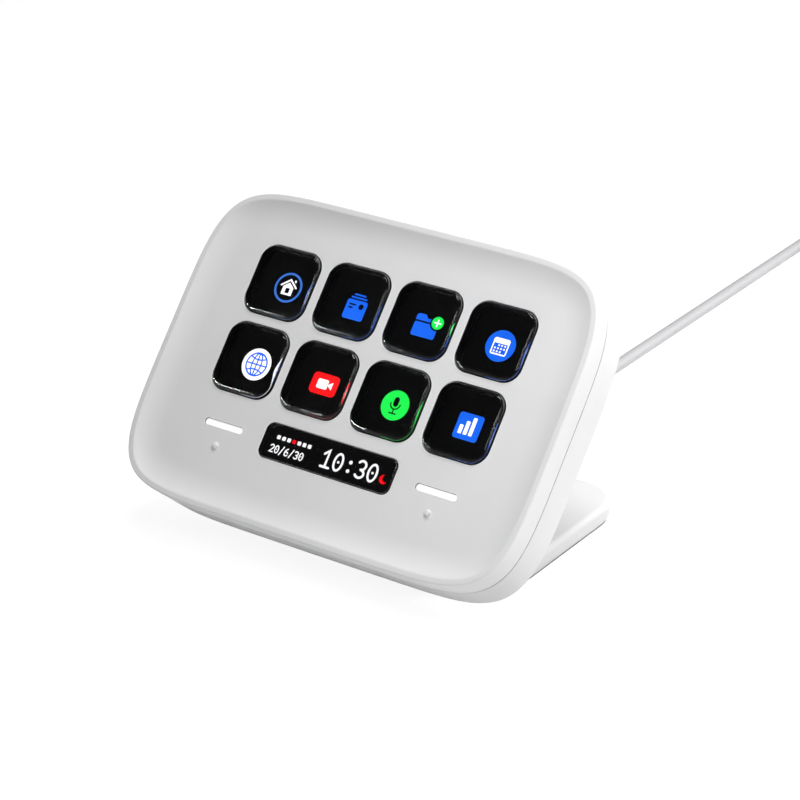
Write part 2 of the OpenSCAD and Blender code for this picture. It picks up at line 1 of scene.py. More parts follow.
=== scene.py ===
"""Looks of a desk key pad with eight picture keys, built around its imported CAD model.

The shells, the stand, the keys, the mat, the lens and the cord are modelled here as fine skins,
and the other CAD nodes are shown as they are. Sizes of the slab are in millimetres in the slab's
own frame: x to the right, v up the face and w out of it, with w = 0 at the rim.
"""

import json
import math

import bmesh
import bpy
from mathutils import Matrix, Vector
from mathutils.geometry import delaunay_2d_cdt

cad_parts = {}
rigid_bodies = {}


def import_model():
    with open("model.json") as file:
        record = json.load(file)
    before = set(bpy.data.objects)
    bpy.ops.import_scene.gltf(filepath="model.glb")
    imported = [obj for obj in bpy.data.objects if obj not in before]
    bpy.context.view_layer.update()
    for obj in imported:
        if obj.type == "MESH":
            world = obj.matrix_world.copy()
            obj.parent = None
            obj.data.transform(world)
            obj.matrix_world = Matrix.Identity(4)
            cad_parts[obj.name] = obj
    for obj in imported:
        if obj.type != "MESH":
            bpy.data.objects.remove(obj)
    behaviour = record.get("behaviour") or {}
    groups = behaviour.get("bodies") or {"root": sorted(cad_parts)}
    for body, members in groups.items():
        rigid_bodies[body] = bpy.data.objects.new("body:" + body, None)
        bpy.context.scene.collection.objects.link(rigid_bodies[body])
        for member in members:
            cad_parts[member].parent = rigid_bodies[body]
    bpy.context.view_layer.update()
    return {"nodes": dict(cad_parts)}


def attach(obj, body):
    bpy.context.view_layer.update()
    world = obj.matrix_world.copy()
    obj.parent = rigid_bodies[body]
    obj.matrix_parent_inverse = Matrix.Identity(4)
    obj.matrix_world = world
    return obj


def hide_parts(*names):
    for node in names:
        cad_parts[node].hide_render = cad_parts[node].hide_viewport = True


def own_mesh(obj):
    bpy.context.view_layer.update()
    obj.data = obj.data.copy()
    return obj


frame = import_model()

# ---- Frames ----

MM = 0.001
LEAN = math.radians(40)  # how far the slab leans back
SLAB_AT = (0, -13.3617, 42.3278)  # middle of the slab's rim plane above the desk
ROW = Matrix.Scale(MM, 4)  # from the desk's frame in millimetres
SLAB = ROW @ Matrix.Translation(SLAB_AT) @ Matrix.Rotation(math.pi / 2 - LEAN, 4, "X")

# ---- Sizes of the slab ----

HALF_W, HALF_H = 53.8, 38.8
SQUARE_X, SQUARE_Y = 7.7, 4.7  # how square the bowed outline is, across and up
OUTLINE_POINTS = 320
SEAM = -6.4  # level at which the two shells meet
SEAM_GAP = 0.25
SEAM_CHAMFER = 0.1
BACK = -17.0
WALL = 1.8
TONGUE_T, TONGUE_H = 0.7, 0.85
DISH = -1.9  # flat middle of the face
CAP_INSET = 8.4  # the face and the back are flat from here inward
UNDER = -3.2  # inner side of the face
INNER_BACK = BACK + WALL
SCREW_BORE = 1.1
BLIND = 0.4  # depth of a screw bore into the wall behind its post

KEY_PITCH = 19.75
KEY_RISE = 8.0  # middle of the key field
KEY_SIZE, KEY_R = 17.0, 3.9
KEY_TOP = -0.9
KEY_EDGE, KEY_SHOULDER = 0.9, 1.5  # depth and width of a key's rounded edge
OPENING, OPENING_R = 17.5, 4.15
PLUG, PLUG_R = 15.2, 3.0  # part of a key inside its skirt
PLUG_LOW = -4.9
KEY_LEDGE = -3.28
PANEL = -6.35  # face of the display behind the keys

INFO_V = -18.5
INFO_W, INFO_H, INFO_R = 36.6, 8.7, 2.0
BAR_X, BAR_W, BAR_H = 29.6, 11.0, 1.6
DOT_V, DOT_D, DOT_H, DOT_EDGE = -23.6, 1.55, 0.72, 0.45


def key_place(i):
    """Middle of key i, counted from 1 at the top left."""
    column, row = (i - 1) % 4, (i - 1) // 4
    return (column - 1.5) * KEY_PITCH, KEY_RISE + (0.5 - row) * KEY_PITCH


def add_object(name, data):
    """New object in the scene, at the origin."""
    piece = bpy.data.objects.new(name, data)
    bpy.context.scene.collection.objects.link(piece)
    return piece


# ---- Camera ----

CAMERA_AT = (0.30830, -0.44602, 0.28270)
CAMERA_RIGHT = Vector((0.82403, 0.56651, 0.00638))
CAMERA_UP = Vector((-0.24224, 0.34213, 0.90789))
FOCAL_LENGTH, FILM_WIDTH = 115.79, 36  # in the camera's own millimetres


def add_camera():
    """Camera at the photograph's viewing angle."""
    camera = add_object("camera", bpy.data.cameras.new("camera"))
    back = CAMERA_RIGHT.cross(CAMERA_UP)
    turn = Matrix((CAMERA_RIGHT, CAMERA_UP, back)).transposed().to_4x4()
    camera.matrix_world = Matrix.Translation(CAMERA_AT) @ turn
    camera.data.lens = FOCAL_LENGTH
    camera.data.sensor_width = FILM_WIDTH
    camera.data.clip_start = 0.01
    bpy.context.scene.camera = camera


add_camera()

# ---- Outlines ----


def outline_angles(count):
    """Angles that divide the slab's outline into pieces of equal length."""
    fine = 4000  # steps that measure the outline
    line = [outline_point(2 * math.pi * i / fine, 0) for i in range(fine + 1)]
    run = [0.0]
    for a, b in zip(line, line[1:]):
        run.append(run[-1] + math.dist(a, b))
    angles, j = [], 0
    for i in range(count):
        goal = run[-1] * (i + 0.5) / count
        while run[j + 1] < goal:
            j += 1
        share = (goal - run[j]) / (run[j + 1] - run[j])
        angles.append(2 * math.pi * (j + share) / fine)
    return angles


def outline_point(angle, inset):
    """Point of the softly bowed slab outline, moved straight in by inset."""
    c, s = math.cos(angle), math.sin(angle)
    x = math.copysign(abs(c) ** (2 / SQUARE_X), c)
    y = math.copysign(abs(s) ** (2 / SQUARE_Y), s)
    gx = SQUARE_X * math.copysign(abs(x) ** (SQUARE_X - 1), x) / HALF_W
    gy = SQUARE_Y * math.copysign(abs(y) ** (SQUARE_Y - 1), y) / HALF_H
    g = math.hypot(gx, gy)
    return x * HALF_W - inset * gx / g, y * HALF_H - inset * gy / g


ANGLES = outline_angles(OUTLINE_POINTS)


def slab_loop(inset, w):
    """The slab's outline at level w, moved in by inset."""
    return [(*outline_point(a, inset), w) for a in ANGLES]


def rounded_loop(middle, width, height, r, w, grow=0.0, steps=10):
    """Rounded rectangle at level w, made larger by grow on every side."""
    cx, cy = middle
    r = max(r + grow, 0.02)
    dx, dy = width / 2 + grow - r, height / 2 + grow - r
    points = []
    for q, (sx, sy) in enumerate([(1, 1), (-1, 1), (-1, -1), (1, -1)]):
        for k in range(steps + 1):
            a = math.pi / 2 * (q + k / steps)
            points.append((cx + sx * dx + r * math.cos(a), cy + sy * dy + r * math.sin(a), w))
    return points


def circle_loop(middle, r, w, count=32):
    """Circle at level w."""
    cx, cy = middle
    turn = 2 * math.pi / count
    return [(cx + r * math.cos(turn * k), cy + r * math.sin(turn * k), w) for k in range(count)]


def rounding(r, steps):
    """Offsets (in, down) of a quarter round, from the side wall to the top."""
    angles = [math.pi / 2 * k / steps for k in range(steps + 1)]
    return [(r * (1 - math.cos(a)), r * (1 - math.sin(a))) for a in angles]


# ---- Skins ----


class Skin:
    """Closed surface built from loops of points, in millimetres."""

    def __init__(self):
        self.mesh = bmesh.new()

    def loop(self, points):
        """Ring of new vertices."""
        return [self.mesh.verts.new(p) for p in points]

    def bridge(self, a, b, material=0):
        """Wall between two rings with the same number of vertices."""
        n = len(a)
        for i in range(n):
            j = (i + 1) % n
            self.mesh.faces.new((a[i], a[j], b[j], b[i])).material_index = material

    def walls(self, loops, material=0):
        """Bridges each loop to the next, and returns the first and the last."""
        rings = [self.loop(points) for points in loops]
        for a, b in zip(rings, rings[1:]):
            self.bridge(a, b, material)
        return rings[0], rings[-1]

    def cap(self, outer, holes=()):
        """Flat cap inside the ring outer, open at the rings in holes."""
        edges = []
        for ring in [outer, *holes]:
            for i, vert in enumerate(ring):
                pair = (vert, ring[(i + 1) % len(ring)])
                edges.append(self.mesh.edges.get(pair) or self.mesh.edges.new(pair))
        bmesh.ops.triangle_fill(self.mesh, edges=edges, use_beauty=True, use_dissolve=False)

    def solid(self, loops):
        """Walls through all the loops, closed flat at both ends."""
        first, last = self.walls(loops)
        self.cap(first)
        self.cap(last)

    def finish(self, name, looks, matrix=SLAB, sharp=30):
        """Turns the skin into an object, with edges sharper than sharp degrees kept crisp."""
        bmesh.ops.recalc_face_normals(self.mesh, faces=self.mesh.faces)
        data = bpy.data.meshes.new(name)
        self.mesh.to_mesh(data)
        self.mesh.free()
        data.transform(matrix)
        for look in looks:
            data.materials.append(materials[look])
        data.shade_smooth()
        data.set_sharp_from_angle(angle=math.radians(sharp))
        return add_object(name, data)


def place(piece, body, slot, *nodes):
    """Lets a piece ride on a CAD body and stand for CAD nodes."""
    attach(piece, body)
    if nodes:
        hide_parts(*nodes)
    return piece


# ---- Materials ----


class Shade:
    """A Principled material with a small node graph, drawn in object space in metres."""

    def __init__(self, name, colour, roughness, **values):
        self.material = bpy.data.materials.new(name)
        self.material.use_nodes = True
        self.tree = self.material.node_tree
        self.principled = self.tree.nodes["Principled BSDF"]
        self.set("Base Color", (*colour, 1))
        self.set("Roughness", roughness)
        for socket, value in values.items():
            self.set(socket.replace("_", " "), value)
        self.space = self.tree.nodes.new("ShaderNodeTexCoord").outputs["Object"]

    def set(self, socket, value):
        """Gives a socket of the shader one value all over."""
        self.principled.inputs[socket].default_value = value

    def link(self, output, socket):
        """Lets an output of the node graph drive a socket of the shader."""
        self.tree.links.new(output, self.principled.inputs[socket])

    def noise(self, size, detail=3.0, stretch=(1, 1, 1)):
        """Noise whose grain is about size metres across."""
        mapping = self.tree.nodes.new("ShaderNodeMapping")
        mapping.inputs["Scale"].default_value = stretch
        self.tree.links.new(self.space, mapping.inputs["Vector"])
        node = self.tree.nodes.new("ShaderNodeTexNoise")
        node.inputs["Scale"].default_value = 1 / size
        node.inputs["Detail"].default_value = detail
        self.tree.links.new(mapping.outputs["Vector"], node.inputs["Vector"])
        return node.outputs["Fac"]

    def cells(self, size):
        """Distance to the middles of cells about size metres across."""
        node = self.tree.nodes.new("ShaderNodeTexVoronoi")
        node.inputs["Scale"].default_value = 1 / size
        self.tree.links.new(self.space, node.inputs["Vector"])
        return node.outputs["Distance"]

    def bands(self, size, distortion=0.0):
        """Bands across X, about size metres from one to the next."""
        node = self.tree.nodes.new("ShaderNodeTexWave")
        node.inputs["Scale"].default_value = math.pi / 10 / size
        node.inputs["Distortion"].default_value = distortion
        self.tree.links.new(self.space, node.inputs["Vector"])
        return node.outputs["Fac"]

    def spread(self, value, low, high):
        """Value from 0.3 to 0.7, where noise mostly lies, made to run from low to high."""
        node = self.tree.nodes.new("ShaderNodeMapRange")
        self.tree.links.new(value, node.inputs["Value"])
        node.inputs["From Min"].default_value = 0.3
        node.inputs["From Max"].default_value = 0.7
        node.inputs["To Min"].default_value = low
        node.inputs["To Max"].default_value = high
        return node.outputs["Result"]

    def colours(self, value, a, b):
        """Base colour that goes from a to b with value."""
        node = self.tree.nodes.new("ShaderNodeMix")
        node.data_type = "RGBA"
        node.inputs["A"].default_value = (*a, 1)
        node.inputs["B"].default_value = (*b, 1)
        self.tree.links.new(self.spread(value, 0, 1), node.inputs["Factor"])
        self.link(node.outputs["Result"], "Base Color")

    def roughness(self, value, low, high):
        """Roughness that goes from low to high with value."""
        self.link(self.spread(value, low, high), "Roughness")

    def bump(self, value, depth):
        """Relief whose full height is depth metres."""
        node = self.tree.nodes.new("ShaderNodeBump")
        node.inputs["Strength"].default_value = 1.0
        node.inputs["Distance"].default_value = depth
        self.tree.links.new(value, node.inputs["Height"])
        self.link(node.outputs["Normal"], "Normal")


def scaled(colour, factor):
    """Lighter or darker shade of a colour."""
    return tuple(c * factor for c in colour)


def moulded(name, colour, roughness, grain=0.00016, depth=0.000004, **values):
    """Moulded plastic: even colour with a faint cloud, and a fine spark-eroded texture."""
    shade = Shade(name, colour, roughness, **values)
    shade.colours(shade.noise(0.02, 2), scaled(colour, 0.985), scaled(colour, 1.015))
    grain_noise = shade.noise(grain, 2)
    shade.roughness(grain_noise, roughness - 0.05, roughness + 0.05)
    shade.bump(grain_noise, depth)
    return shade.material


def glassy(name, colour, roughness, ior, **values):
    """Clear moulded block with faint flow marks in its gloss."""
    shade = Shade(name, colour, roughness, IOR=ior, **values)
    shade.set("Transmission Weight", 1.0)
    shade.roughness(shade.noise(0.004, 2), roughness, roughness + 0.02)
    return shade.material


def metal(name, colour, roughness, stretch=(1, 1, 1)):
    """Metal with fine drawn or turned marks."""
    shade = Shade(name, colour, roughness, Metallic=1.0)
    marks = shade.noise(0.0005, 4, stretch)
    shade.colours(marks, scaled(colour, 0.9), scaled(colour, 1.05))
    shade.roughness(marks, roughness - 0.06, roughness + 0.08)
    shade.bump(marks, 0.000006)
    return shade.material


def solder_mask(name):
    """Black board with faint traces under its mask."""
    shade = Shade(name, (0.008, 0.009, 0.01), 0.45)
    traces = shade.bands(0.0011, 6.0)
    shade.colours(traces, (0.006, 0.007, 0.008), (0.011, 0.012, 0.014))
    shade.roughness(shade.noise(0.0006), 0.3, 0.42)
    shade.bump(traces, 0.00002)
    return shade.material


def film(name):
    """Amber ribbon with copper runs under the film."""
    shade = Shade(name, (0.55, 0.24, 0.04), 0.3)
    runs = shade.bands(0.0006)
    shade.colours(runs, (0.42, 0.16, 0.02), (0.7, 0.34, 0.08))
    shade.bump(runs, 0.00001)
    return shade.material


def light_guide(name):
    """Milky bar that is lit from behind."""
    shade = Shade(name, (0.95, 0.95, 0.95), 0.4)
    shade.set("Emission Color", (1, 1, 1, 1))
    shade.set("Emission Strength", 0.6)
    frost = shade.noise(0.0002, 2)
    shade.roughness(frost, 0.35, 0.5)
    shade.bump(frost, 0.000004)
    return shade.material


def glowing(name, colour, strength=1.0):
    """Lit part of a display, with the faint grain of its pixels in the gloss."""
    shade = Shade(name, scaled(colour, 0.25), 0.3)
    shade.set("Emission Color", (*colour, 1))
    shade.set("Emission Strength", strength)
    shade.set("Specular IOR Level", 0.2)
    pixels = shade.cells(0.00012)
    shade.roughness(pixels, 0.28, 0.4)
    shade.bump(pixels, 0.000001)
    return shade.material


WHITE = (0.83, 0.83, 0.835)
DIM = (0.3, 0.3, 0.3, 1)  # tint that weakens the mirror image of the lamps in the keys
materials = {
    "white_shell": moulded("white_shell", WHITE, 0.5, Specular_IOR_Level=0.25),
    # lighter white on the openings' rounded edges: a painted highlight, as the real edges are the
    # shell's own white
    "painted_edge_highlight": moulded("painted_edge_highlight", (0.96, 0.96, 0.96), 0.4),
    "white_stand": moulded("white_stand", scaled(WHITE, 0.93), 0.52, Specular_IOR_Level=0.25),
    "clear_key": glassy("clear_key", (0.99, 0.99, 1.0), 0.0, 1.49, Specular_Tint=DIM),
    "clear_lens": glassy("clear_lens", (0.93, 0.93, 0.95), 0.0, 1.45),
    "black_skirt": moulded("black_skirt", (0.006, 0.006, 0.007), 0.5),
    "display": moulded(
        "display",
        (0.003, 0.003, 0.0033),
        0.4,
        Specular_IOR_Level=0.02,
        Emission_Color=(1, 1, 1, 1),
        Emission_Strength=0.002,
    ),
    # grey on the seam gap, the tongue and the openings' walls: painted shade, where the white
    # shell only lies in shadow
    "painted_gap_shade": moulded("painted_gap_shade", (0.25, 0.25, 0.25), 0.6),
    "key_paint": moulded("key_paint", (0.003, 0.003, 0.003), 0.5, Specular_IOR_Level=0.1),
    "silicone": moulded("silicone", (0.008, 0.008, 0.009), 0.6),
    "board": solder_mask("board"),
    "ribbon": film("ribbon"),
    "chip": moulded("chip", (0.012, 0.012, 0.013), 0.55),
    "socket": moulded("socket", (0.72, 0.68, 0.58), 0.5),
    "lamp": moulded("lamp", (0.85, 0.8, 0.5), 0.4),
    "sheet_metal": metal("sheet_metal", (0.55, 0.56, 0.57), 0.34, (1, 12, 1)),
    "weight_steel": metal("weight_steel", (0.5, 0.51, 0.52), 0.4, (1, 8, 1)),
    "dark_steel": metal("dark_steel", (0.12, 0.12, 0.125), 0.35),
    "bright_steel": metal("bright_steel", (0.6, 0.6, 0.61), 0.28),
    "pad_rubber": moulded("pad_rubber", (0.02, 0.02, 0.021), 0.8, 0.0004, 0.00003),
    "boot_rubber": moulded("boot_rubber", (0.72, 0.72, 0.725), 0.6, 0.0002, 0.000006),
    "cord_jacket": moulded("cord_jacket", (0.53, 0.53, 0.54), 0.5, 0.0003, 0.000006),
    "diffuser": light_guide("diffuser"),
}

# Finish of each CAD node that is shown as it is
CAD_FINISHES = {
    "display": ["display_panel", "info_display"],
    "black_skirt": [f"skirt_{i}" for i in range(1, 9)],
    "board": ["key_board", "main_board", "touch_board_left", "touch_board_right"],
    "ribbon": ["display_flex", "info_flex"],
    "chip": ["board_chips"],
    "socket": ["board_sockets"],
    "lamp": ["side_leds"],
    "diffuser": ["light_bar_left", "light_bar_right"],
    "sheet_metal": ["display_tray"],
    "weight_steel": ["foot_weight"],
    "dark_steel": ["shell_screws", "stand_screws"],
    "bright_steel": ["tray_screws", "board_screws", "plug_shell"],
    "pad_rubber": ["foot_pad"],
    "boot_rubber": ["cord_boot", "plug_grip"],
}
for finish, names in CAD_FINISHES.items():
    for name in names:
        data = frame["nodes"][name].data
        data.materials.clear()
        data.materials.append(materials[finish])

# ---- Cord ----

CORD_D = 3.2
CORD_EXIT = (0, 19.39, 33.13)
CORD_LIE = CORD_D / 2  # level of its middle where it lies on the desk
COIL_AT = (27.6, 240)
COIL_TURNS = 5.25  # in each of the two layers
COIL_OUTER = 27.6
COIL_STEPS = 16  # points in a turn

cord_drop = [
    CORD_EXIT,
    (0, 24, 29.26),
    (0, 28.6, 25.4),
    (0, 33, 21.4),
    (0, 37.1, 17),
    (0, 41, 12.5),
    (0, 45.4, 8.4),
    (0, 50.6, 5),
    (0, 56.6, 2.8),
    (0, 63.2, 1.9),
    (0, 70, CORD_LIE),
]
cord_lie = [(0, y, CORD_LIE) for y in range(79, 232, 9)]
cord_tail = [
    (55.2, 238, 4.6),
    (55, 232, 3.8),
    (54.6, 226, 2.8),
    (53.8, 220, 2),
    (52.6, 214, 1.6),
    (50.9, 208, 1.7),
    (48.8, 202, 2.2),
    (46.4, 196, 2.8),
]


def coil_points():
    """Two layers of turns, clockwise: inward on the desk, then outward on top."""
    points = []
    steps = round(2 * COIL_TURNS * COIL_STEPS)
    for i in range(steps + 1):
        turn = i / COIL_STEPS
        r = COIL_OUTER - CORD_D * min(turn, 2 * COIL_TURNS - turn)
        climb = min(max((turn - COIL_TURNS) * 2 + 0.5, 0), 1)
        z = CORD_LIE + CORD_D * climb * climb * (3 - 2 * climb)
        a = math.pi - 2 * math.pi * turn
        points.append((COIL_AT[0] + r * math.cos(a), COIL_AT[1] + r * math.sin(a), z))
    return points


def add_cord():
    """The whole cord as one round curve, from the boot to the plug."""
    curve = bpy.data.curves.new("cord_run", "CURVE")
    curve.dimensions = "3D"
    curve.bevel_depth = CORD_D / 2 * MM
    curve.bevel_resolution = 5
    curve.resolution_u = 6
    curve.use_fill_caps = True
    route = cord_drop + cord_lie + coil_points() + cord_tail
    spline = curve.splines.new("BEZIER")
    spline.bezier_points.add(len(route) - 1)
    for point, at in zip(spline.bezier_points, route):
        point.co = ROW @ Vector(at)
        point.handle_left_type = "AUTO"
        point.handle_right_type = "AUTO"
    curve.materials.append(materials["cord_jacket"])
    piece = add_object("cord_run", curve)
    place(piece, "body", "cord_jacket", "cord", "cord_coil", "cord_tail")


add_cord()

# ---- Front shell ----

RIM_EDGE = 0.28  # soft outer edge of the rim
RIM_FLAT = 1.1  # inset at which the rim's flat top ends
RIM_BEND = [(1.15, 0), (1.39, 0), (1.6, -0.12)]  # from the flat into the dish
DISH_FALL = 2.2  # the higher, the steeper the dish starts
SUPPORT = 0.07  # strip that keeps the flats beside a rounding flat
OPENING_EDGE, BAR_EDGE = 0.2, 0.06
POST_R, POST_TIP = 2.2, -5.5
BOSS_R, BOSS_TIP = 2.6, -9.0
PIN_R, PIN_TIP = 0.9, -5.0


def face_openings():
    """Middle, width, height, corner radius and edge rounding of every opening in the face."""
    keys = [(key_place(i), OPENING, OPENING, OPENING_R, OPENING_EDGE) for i in range(1, 9)]
    info = [((0, INFO_V), INFO_W, INFO_H, INFO_R, OPENING_EDGE)]
    bar_r = BAR_H / 2 - 0.05
    bars = [((s * BAR_X, INFO_V), BAR_W, BAR_H, bar_r, BAR_EDGE) for s in (-1, 1)]
    return keys + info + bars


def corners(x, v):
    """The four places at x to either side and v up and down."""
    return [(sx * x, sv * v) for sx in (-1, 1) for sv in (-1, 1)]


KEY_POSTS = [(x, KEY_RISE + v) for x, v in corners(42, 15.5)]
BOSSES = corners(44.8, 29.6)
TOUCH_POSTS = [(s * BAR_X + t * 6.3, -26.6) for s in (-1, 1) for t in (-1, 1)]


def rim_profile():
    """Inset and level from the seam over the rim and down the dish."""
    soft = 0.3 * SEAM_CHAMFER
    profile = [(SEAM_CHAMFER, SEAM), (soft, SEAM + soft), (0, SEAM + SEAM_CHAMFER)]
    profile.append((0, -RIM_EDGE - 0.1))
    profile += [(inset, -down) for inset, down in rounding(RIM_EDGE, 6)]
    profile += [(RIM_EDGE + SUPPORT, 0), (RIM_FLAT, 0)]
    for k in range(5):
        t = k / 5
        mix = ((1 - t) ** 2, 2 * t * (1 - t), t * t)
        profile.append(tuple(sum(m * p[i] for m, p in zip(mix, RIM_BEND)) for i in (0, 1)))
    start, drop = RIM_BEND[-1]
    for k in range(19):
        s = k / 18
        fall = 1 - (1 - s) ** DISH_FALL
        profile.append((start + s * (CAP_INSET - start), drop + (DISH - drop) * fall))
    return profile


def add_front_shell():
    """Dished front with its openings, dots and inner posts, in one closed skin."""
    skin = Skin()
    outside = rim_profile() + [(CAP_INSET + 0.4, DISH)]
    groove, groove_end = WALL - TONGUE_T - 0.05, SEAM + TONGUE_H + 0.05
    inside = [(groove, SEAM), (groove, groove_end), (WALL, groove_end), (WALL, UNDER)]
    seam_in, under = skin.walls([slab_loop(*p) for p in inside])
    seam_out, dish = skin.walls([slab_loop(*p) for p in outside])
    # the faces inside the seam gap take the grey of painted shade
    skin.bridge(seam_in, seam_out, material=2)
    tops, bottoms = [], []
    for at, w, h, r, edge in face_openings():
        loops = [rounded_loop(at, w, h, r, DISH, edge + SUPPORT)]
        for away, down in reversed(rounding(edge, 4)):
            loops.append(rounded_loop(at, w, h, r, DISH - down, away))
        # the rounded edge of an opening takes a lighter white, a painted highlight
        top, low = skin.walls(loops, material=1)
        levels = (DISH - edge - 0.02, UNDER)
        # the wall inside an opening takes the grey of painted shade
        wall, bottom = skin.walls([rounded_loop(at, w, h, r, z) for z in levels], material=2)
        skin.bridge(low, wall, material=2)
        tops.append(top)
        bottoms.append(bottom)
    for at in TOUCH_POSTS:
        bottoms.append(add_pin(skin, at, PIN_R, UNDER, PIN_TIP))
    for at in KEY_POSTS:
        bottoms.append(add_post(skin, at, POST_R, UNDER, POST_TIP, UNDER - BLIND))
    for at in BOSSES:
        bottoms.append(add_post(skin, at, BOSS_R, UNDER, BOSS_TIP, UNDER - BLIND))
    for s in (-1, 1):
        tops.append(add_dot(skin, (s * BAR_X, DOT_V)))
    skin.cap(dish, tops)
    skin.cap(under, bottoms)
    looks = ("white_shell", "painted_edge_highlight", "painted_gap_shade")
    piece = skin.finish("front_shell_skin", looks, sharp=35)
    place(piece, "body", "white_shell", "front_shell")


def add_pin(skin, at, r, foot, tip):
    """Plain pin on a wall, whose ring at the wall is returned."""
    base, end = skin.walls([circle_loop(at, r, foot), circle_loop(at, r, tip)])
    skin.cap(end)
    return base


def add_post(skin, at, r, foot, tip, floor):
    """Post with a blind screw bore, whose ring at the wall is returned."""
    loops = [(r, foot), (r, tip), (SCREW_BORE, tip), (SCREW_BORE, floor)]
    base, end = skin.walls([circle_loop(at, *p) for p in loops])
    skin.cap(end)
    return base


def add_dot(skin, at):
    """Raised touch dot: a small dome with a fine foot."""
    r, top = DOT_D / 2, DISH + DOT_H
    loops = [(r + 0.2, DISH), (r + 0.06, DISH), (r + 0.02, DISH + 0.02), (r, DISH + 0.06)]
    loops += [(r - inset, top - down) for inset, down in rounding(DOT_EDGE, 8)]
    base, end = skin.walls([circle_loop(at, *p) for p in loops])
    skin.cap(end)
    return base


add_front_shell()

# ---- Rear shell ----

BACK_EDGE = 2.1
MAIN_POSTS = [(x, 3 + v) for x, v in corners(28, 14)]
MAIN_POST_TIP = -11.8
HEAD_R, HEAD_DEPTH = 2.1, 2.5  # counterbores of the shells' screws
PILLAR_R, PILLAR_TIP = 3.0, -9.05
STAND_HOLES = [(s * 21, v) for s in (-1, 1) for v in (-3, -21)]
STAND_BORE, STAND_PILLAR_R, STAND_PILLAR_TIP = 1.4, 2.7, -12.2
CORD_HOLE, CORD_HOLE_R = (0, 14), 3.15
COLLAR_R, COLLAR_H = 6.0, 0.6  # raised ring round the cord's hole, inside
RIB_X, RIB_T, RIB_LENGTH, RIB_H = 38, 1.2, 44, 1.2


def add_rear_shell():
    """Back with its tongue, bores, pillars and ribs, in one closed skin."""
    skin = Skin()
    top, soft = SEAM - SEAM_GAP, 0.3 * SEAM_CHAMFER
    tongue = [(WALL, SEAM + TONGUE_H), (WALL - TONGUE_T, SEAM + TONGUE_H)]
    tongue += [(WALL - TONGUE_T, top), (2 * SEAM_CHAMFER, top)]
    outside = [(SEAM_CHAMFER, top), (soft, top - soft), (0, top - SEAM_CHAMFER)]
    outside.append((0, BACK + BACK_EDGE + 0.2))
    outside += [(inset, BACK + rise) for inset, rise in rounding(BACK_EDGE, 8)]
    outside += [(BACK_EDGE + 0.2, BACK), (CAP_INSET, BACK)]
    # the tongue and the ledge inside the seam gap take the grey of painted shade
    tongue_out, ledge = skin.walls([slab_loop(*p) for p in tongue], material=1)
    seam, back = skin.walls([slab_loop(*p) for p in outside])
    skin.bridge(ledge, seam, material=1)
    floor = skin.loop(slab_loop(WALL, INNER_BACK))
    skin.bridge(tongue_out, floor)
    outer_rings, inner_rings = [], []
    for at in BOSSES:
        loops = [(HEAD_R + 0.2, BACK), (HEAD_R + 0.02, BACK + 0.18)]
        loops += [(HEAD_R, BACK + HEAD_DEPTH), (SCREW_BORE, BACK + HEAD_DEPTH)]
        loops += [(SCREW_BORE, PILLAR_TIP), (PILLAR_R, PILLAR_TIP), (PILLAR_R, INNER_BACK)]
        add_through(skin, at, loops, outer_rings, inner_rings)
    for at in STAND_HOLES:
        loops = [(STAND_BORE, BACK), (STAND_BORE, STAND_PILLAR_TIP)]
        loops += [(STAND_PILLAR_R, STAND_PILLAR_TIP), (STAND_PILLAR_R, INNER_BACK)]
        add_through(skin, at, loops, outer_rings, inner_rings)
    collar = INNER_BACK + COLLAR_H
    loops = [(CORD_HOLE_R + 0.15, BACK), (CORD_HOLE_R, BACK + 0.15), (CORD_HOLE_R, collar)]
    loops += [(COLLAR_R, collar), (COLLAR_R, INNER_BACK)]
    add_through(skin, CORD_HOLE, loops, outer_rings, inner_rings)
    for at in MAIN_POSTS:
        ring = add_post(skin, at, POST_R, INNER_BACK, MAIN_POST_TIP, INNER_BACK + BLIND)
        inner_rings.append(ring)
    for s in (-1, 1):
        rib = ((s * RIB_X, 0), RIB_T, RIB_LENGTH, 0.3)
        base, end = skin.walls([rounded_loop(*rib, INNER_BACK + h, steps=2) for h in (0, RIB_H)])
        skin.cap(end)
        inner_rings.append(base)
    skin.cap(back, outer_rings)
    skin.cap(floor, inner_rings)
    piece = skin.finish("rear_shell_skin", ("white_shell", "painted_gap_shade"), sharp=35)
    place(piece, "body", "white_shell", "rear_shell")


def add_through(skin, at, loops, outer_rings, inner_rings):
    """Bore from the outer face to the inner one, whose end rings join the two lists."""
    first, last = skin.walls([circle_loop(at, *p, count=40) for p in loops])
    outer_rings.append(first)
    inner_rings.append(last)


add_rear_shell()

# ---- Keys ----


def add_key(i):
    """Clear key with a soft shoulder, painted black on its sides and round its plug."""
    skin = Skin()
    block = (key_place(i), KEY_SIZE, KEY_SIZE, KEY_R)
    plug = (key_place(i), PLUG, PLUG, PLUG_R)
    loops = [rounded_loop(*block, KEY_TOP, -KEY_SHOULDER - 0.15)]
    for inset, down in reversed(rounding(1, 12)):
        loops.append(rounded_loop(*block, KEY_TOP - down * KEY_EDGE, -inset * KEY_SHOULDER))
    loops.append(rounded_loop(*block, KEY_LEDGE))
    loops.append(rounded_loop(*plug, KEY_LEDGE))
    loops.append(rounded_loop(*plug, PLUG_LOW))
    skin.solid(loops)
    for face in skin.mesh.faces:
        level = face.calc_center_median().z
        face.material_index = int(PLUG_LOW + 0.01 < level < KEY_TOP - KEY_EDGE)
    piece = skin.finish(f"key_block_{i}", ("clear_key", "key_paint"), sharp=40)
    place(piece, f"pressed_key_{i}", "clear_key", f"key_{i}")


for number in range(1, 9):
    add_key(number)

# ---- Silicone mat ----

MAT_W, MAT_H, MAT_R = 79.0, 40.6, 2.0
MAT_LOW, MAT_TOP = -5.5, -5.1
MAT_WINDOW, MAT_WINDOW_R = 16.3, 3.5
DOME_OUT = 8.775  # place of a dome from the middle of its key
DOME = [(0.75, 0), (0.7, 0.2), (0.58, 0.85), (0.5, 1.0), (0.38, 1.05)]  # radius and height


